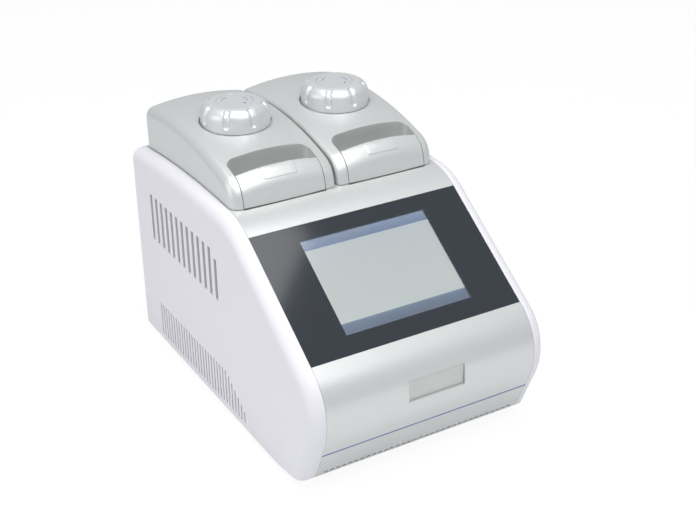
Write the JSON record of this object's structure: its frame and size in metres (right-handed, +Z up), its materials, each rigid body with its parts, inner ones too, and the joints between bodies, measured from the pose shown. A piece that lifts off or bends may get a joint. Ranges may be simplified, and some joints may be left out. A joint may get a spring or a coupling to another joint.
{
  "type": "thermal cycler",
  "caption": "Bench thermal cycler: wedge housing with a sloping touch display, and hinged heated lids side by side, each with a latch handle and a fluted pressure knob.",
  "frame": {"origin": "on the bench, under the middle of the housing's footprint", "axes": "+X to the right seen from the front, +Y towards the back, +Z up; the display faces -Y and up"},
  "size_m": [0.304, 0.4616, 0.346],
  "materials": {
    "pearl_white_shell": "satin, fine moulded texture",
    "silver_shell": "satin silver-grey paint on plastic",
    "knob_silver": "satin silver-grey",
    "blue_stripe": "gloss",
    "name_plate_metal": "satin",
    "screen_glass": "gloss, printed dark round the display",
    "display_face": "gloss",
    "black_plastic": "satin",
    "rocker_black": "gloss",
    "coated_steel": "fine powder coat",
    "plain_steel": "brushed",
    "bare_aluminium": "machined",
    "sample_block_silver": "satin plated",
    "board_green": "solder mask",
    "ceramic_white": "matte",
    "foot_rubber": "matte",
    "gasket_silicone": "matte",
    "socket_metal": "plated"
  },
  "bodies": {
    "housing": {"base_chassis": "coated_steel", "front_panel": "silver_shell", "front_stripe": "blue_stripe", "name_plate": "name_plate_metal", "top_cover": "silver_shell", "rear_panel": "coated_steel", "feet": "foot_rubber", "housing_screws": "plain_steel", "screen_glass": "screen_glass", "display_carrier": "black_plastic", "lcd_module": "display_face", "inner_bench": "bare_aluminium", "main_board": "board_green", "power_supply": "plain_steel", "power_inlet": "black_plastic", "switch_frame": "black_plastic", "usb_sockets": "socket_metal", "left_side_panel": "pearl_white_shell", "left_hinge_bracket": "plain_steel", "left_hinge_pin": "plain_steel", "left_sample_block": "sample_block_silver", "left_block_gasket": "gasket_silicone", "left_peltier_modules": "ceramic_white", "left_heat_sink": "bare_aluminium", "left_fan_frame": "black_plastic", "right_side_panel": "pearl_white_shell", "right_hinge_bracket": "plain_steel", "right_hinge_pin": "plain_steel", "right_sample_block": "sample_block_silver", "right_block_gasket": "gasket_silicone", "right_peltier_modules": "ceramic_white", "right_heat_sink": "bare_aluminium", "right_fan_frame": "black_plastic"},
    "left_lid": {"left_lid_shell": "silver_shell", "left_lid_liner": "black_plastic", "left_hinge_arms": "plain_steel", "left_latch_pin": "plain_steel", "left_latch_spring": "plain_steel"},
    "left_latch": {"left_latch_handle": "silver_shell"},
    "left_knob": {"left_knob": "knob_silver", "left_knob_cap": "knob_silver", "left_pressure_screw": "plain_steel"},
    "left_plate": {"left_hot_plate": "bare_aluminium", "left_plate_carrier": "bare_aluminium"},
    "left_fan": {"left_fan_rotor": "black_plastic"},
    "right_lid": {"right_lid_shell": "silver_shell", "right_lid_liner": "black_plastic", "right_hinge_arms": "plain_steel", "right_latch_pin": "plain_steel", "right_latch_spring": "plain_steel"},
    "right_latch": {"right_latch_handle": "silver_shell"},
    "right_knob": {"right_knob": "knob_silver", "right_knob_cap": "knob_silver", "right_pressure_screw": "plain_steel"},
    "right_plate": {"right_hot_plate": "bare_aluminium", "right_plate_carrier": "bare_aluminium"},
    "right_fan": {"right_fan_rotor": "black_plastic"},
    "rocker": {"power_rocker": "rocker_black"}
  },
  "joints": [
    {"name": "left_lid_hinge", "type": "hinge", "parent": "housing", "child": "left_lid", "pos_m": [-0.06775, 0.218, 0.27072], "axis": [-1, 0, 0], "range_deg": [0, 76]},
    {"name": "left_latch_pivot", "type": "hinge", "parent": "left_lid", "child": "left_latch", "pos_m": [-0.06775, -0.014, 0.272], "axis": [1, 0, 0], "range_deg": [0, 15], "stiffness_Nm_per_rad": 0.15, "springref_deg": -11.46},
    {"name": "left_knob_turn", "type": "hinge", "parent": "left_lid", "child": "left_knob", "pos_m": [-0.06775, 0.1, 0.3181], "axis": [0, 0, -1], "range_deg": [0, 450]},
    {"name": "left_plate_drop", "type": "slide", "parent": "left_lid", "child": "left_plate", "axis": [0, 0, -1], "range_m": [0, 0.0076]},
    {"name": "left_fan_spin", "type": "hinge", "parent": "housing", "child": "left_fan", "pos_m": [-0.06775, 0.1, 0.136], "axis": [0, 0, 1], "continuous": true},
    {"name": "right_lid_hinge", "type": "hinge", "parent": "housing", "child": "right_lid", "pos_m": [0.06775, 0.218, 0.27072], "axis": [-1, 0, 0], "range_deg": [0, 76]},
    {"name": "right_latch_pivot", "type": "hinge", "parent": "right_lid", "child": "right_latch", "pos_m": [0.06775, -0.014, 0.272], "axis": [1, 0, 0], "range_deg": [0, 15], "stiffness_Nm_per_rad": 0.15, "springref_deg": -11.46},
    {"name": "right_knob_turn", "type": "hinge", "parent": "right_lid", "child": "right_knob", "pos_m": [0.06775, 0.1, 0.3181], "axis": [0, 0, -1], "range_deg": [0, 450]},
    {"name": "right_plate_drop", "type": "slide", "parent": "right_lid", "child": "right_plate", "axis": [0, 0, -1], "range_m": [0, 0.0076]},
    {"name": "right_fan_spin", "type": "hinge", "parent": "housing", "child": "right_fan", "pos_m": [0.06775, 0.1, 0.136], "axis": [0, 0, 1], "continuous": true},
    {"name": "rocker_tilt", "type": "hinge", "parent": "housing", "child": "rocker", "pos_m": [0.045, 0.2245, 0.045], "axis": [1, 0, 0], "range_deg": [0, 14]}
  ],
  "couplings": [
    {"joint": "left_plate_drop", "follows": "left_knob_turn", "m_per_rad": 0.00095493},
    {"joint": "right_plate_drop", "follows": "right_knob_turn", "m_per_rad": 0.00095493}
  ]
}
